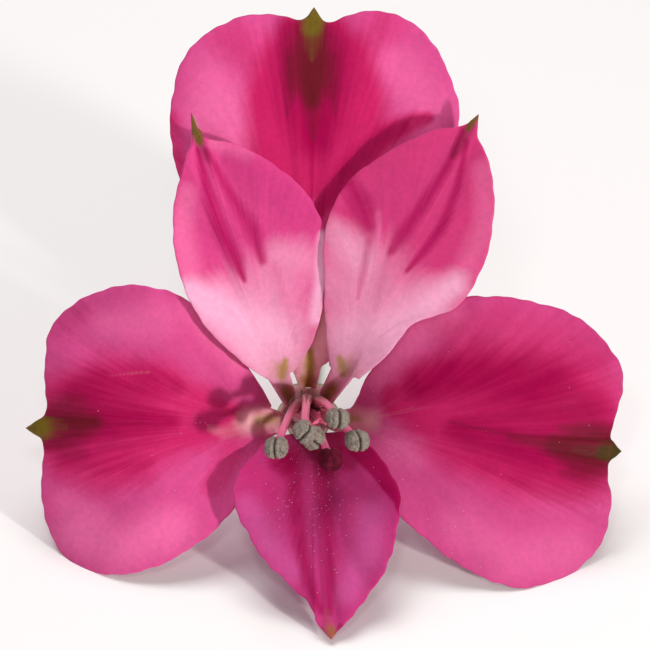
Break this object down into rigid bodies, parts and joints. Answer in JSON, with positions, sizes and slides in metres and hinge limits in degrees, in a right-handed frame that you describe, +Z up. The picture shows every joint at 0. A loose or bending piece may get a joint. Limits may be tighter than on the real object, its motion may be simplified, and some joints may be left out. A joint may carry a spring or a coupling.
{
  "type": "alstroemeria flower",
  "caption": "Single open pink alstroemeria flower with clawed tepals, stamens, a ribbed ovary and a short cut stalk, lying on its side.",
  "frame": {"origin": "on the surface the flower lies on, under the middle of its bounding box", "axes": "+Z up from the surface, +Y along the stalk towards its cut end, the flower looks towards -Y and up, +X to its right as seen from the front"},
  "size_m": [0.077, 0.098, 0.0599],
  "materials": {
    "outer_tepal": "satin petal, magenta pink with a dark green and maroon flame from the tip",
    "upper_inner_tepal": "satin petal, pink with crimson streaks, white band and pale base",
    "lower_inner_tepal": "satin petal, purple pink with darker pleats",
    "filament": "smooth, slightly glossy pink",
    "ripe_anther": "matt, granular with grey-beige pollen",
    "unripe_anther": "smooth dark maroon",
    "green_stalk": "smooth satin green"
  },
  "bodies": {
    "root": {"outer_tepal_top": "outer_tepal", "outer_tepal_left": "outer_tepal", "outer_tepal_right": "outer_tepal", "inner_tepal_left": "upper_inner_tepal", "inner_tepal_right": "upper_inner_tepal", "inner_tepal_lower": "lower_inner_tepal", "filament_1": "filament", "filament_2": "filament", "filament_3": "filament", "filament_4": "filament", "filament_5": "filament", "filament_6": "filament", "anther_1": "ripe_anther", "anther_2": "ripe_anther", "anther_3": "ripe_anther", "anther_4": "ripe_anther", "anther_5": "ripe_anther", "anther_6": "unripe_anther", "style": "filament", "ovary_and_stalk": "green_stalk"}
  },
  "joints": []
}
